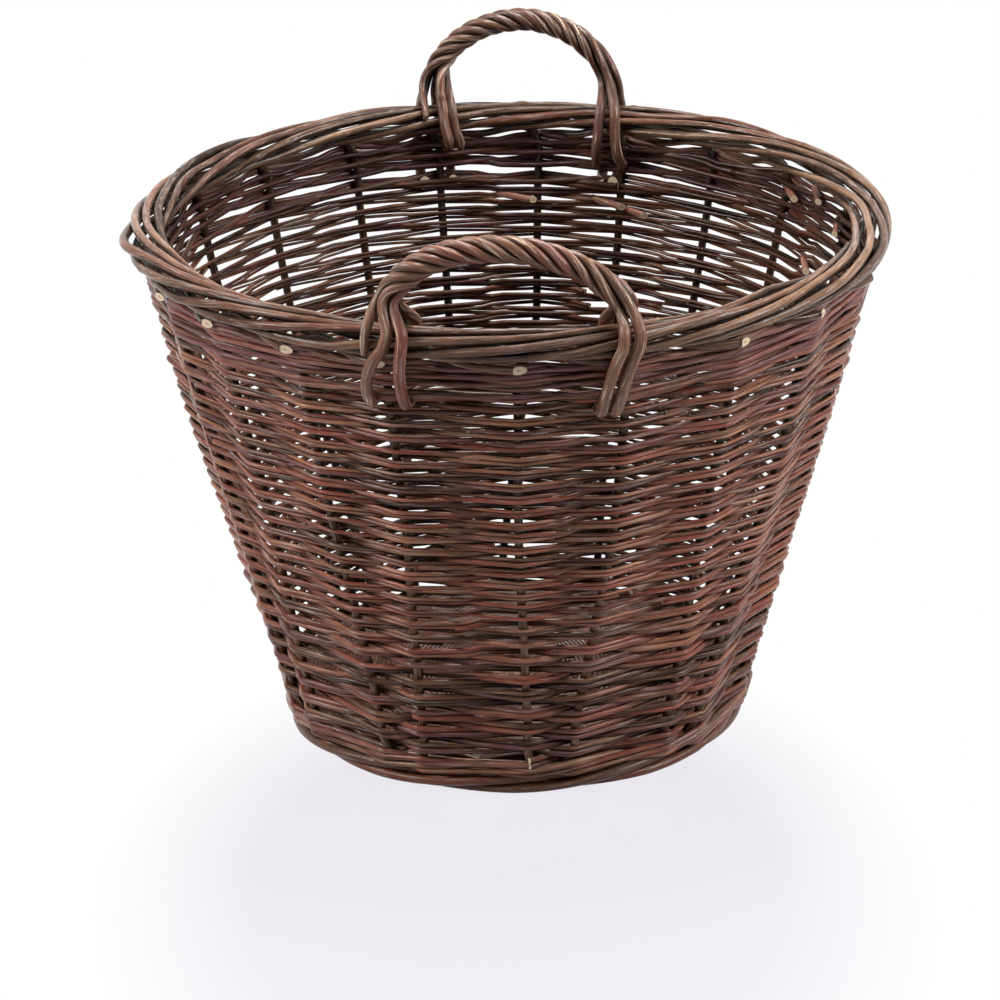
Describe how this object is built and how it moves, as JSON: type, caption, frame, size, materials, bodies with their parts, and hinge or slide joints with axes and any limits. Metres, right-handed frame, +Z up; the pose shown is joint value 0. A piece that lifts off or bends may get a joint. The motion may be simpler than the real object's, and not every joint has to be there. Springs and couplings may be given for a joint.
{
  "type": "round wicker basket",
  "caption": "Round flared basket woven of unpeeled willow rods, open at the top, with a rolled border and two upright twisted handles.",
  "frame": {"origin": "centre of the foot on the ground", "axes": "+Z up through the open mouth, -Y towards the front handle, +Y towards the back handle, X along both handles' arches"},
  "size_m": [0.5196, 0.521, 0.4351],
  "materials": {
    "stake_bark": "dry unpeeled willow bark, reddish brown inside the basket and tan grey on the border",
    "wale_bark": "dry unpeeled willow bark, purplish brown, satin",
    "siding_bark": "dry unpeeled willow bark, dark reddish brown, satin",
    "base_bark": "dry unpeeled willow bark, dark brown",
    "stick_bark": "dry unpeeled willow bark, pale pith where the rods are cut",
    "foot_bark": "dry unpeeled willow bark, dark, a little shiny",
    "handle_bark": "dry unpeeled willow bark, twisted and cracked along the grain"
  },
  "bodies": {
    "root": {"stake_01": "stake_bark", "stake_02": "stake_bark", "stake_03": "stake_bark", "stake_04": "stake_bark", "stake_05": "stake_bark", "stake_06": "stake_bark", "stake_07": "stake_bark", "stake_08": "stake_bark", "stake_09": "stake_bark", "stake_10": "stake_bark", "stake_11": "stake_bark", "stake_12": "stake_bark", "stake_13": "stake_bark", "stake_14": "stake_bark", "stake_15": "stake_bark", "stake_16": "stake_bark", "stake_17": "stake_bark", "stake_18": "stake_bark", "stake_19": "stake_bark", "stake_20": "stake_bark", "stake_21": "stake_bark", "upsett_wale": "wale_bark", "siding_1": "siding_bark", "siding_2": "siding_bark", "siding_3": "siding_bark", "siding_4": "siding_bark", "top_wale": "wale_bark", "pierced_stick_1": "stick_bark", "pierced_stick_2": "stick_bark", "pierced_stick_3": "stick_bark", "passed_stick_1": "stick_bark", "passed_stick_2": "stick_bark", "base_weaver_1": "base_bark", "base_weaver_2": "base_bark", "foot_rod_01": "foot_bark", "foot_rod_02": "foot_bark", "foot_rod_03": "foot_bark", "foot_rod_04": "foot_bark", "foot_rod_05": "foot_bark", "foot_rod_06": "foot_bark", "foot_rod_07": "foot_bark", "foot_rod_08": "foot_bark", "foot_rod_09": "foot_bark", "foot_rod_10": "foot_bark", "handle_front_01": "handle_bark", "handle_front_02": "handle_bark", "handle_front_03": "handle_bark", "handle_front_04": "handle_bark", "handle_front_05": "handle_bark", "handle_back_01": "handle_bark", "handle_back_02": "handle_bark", "handle_back_03": "handle_bark", "handle_back_04": "handle_bark", "handle_back_05": "handle_bark"}
  },
  "joints": []
}
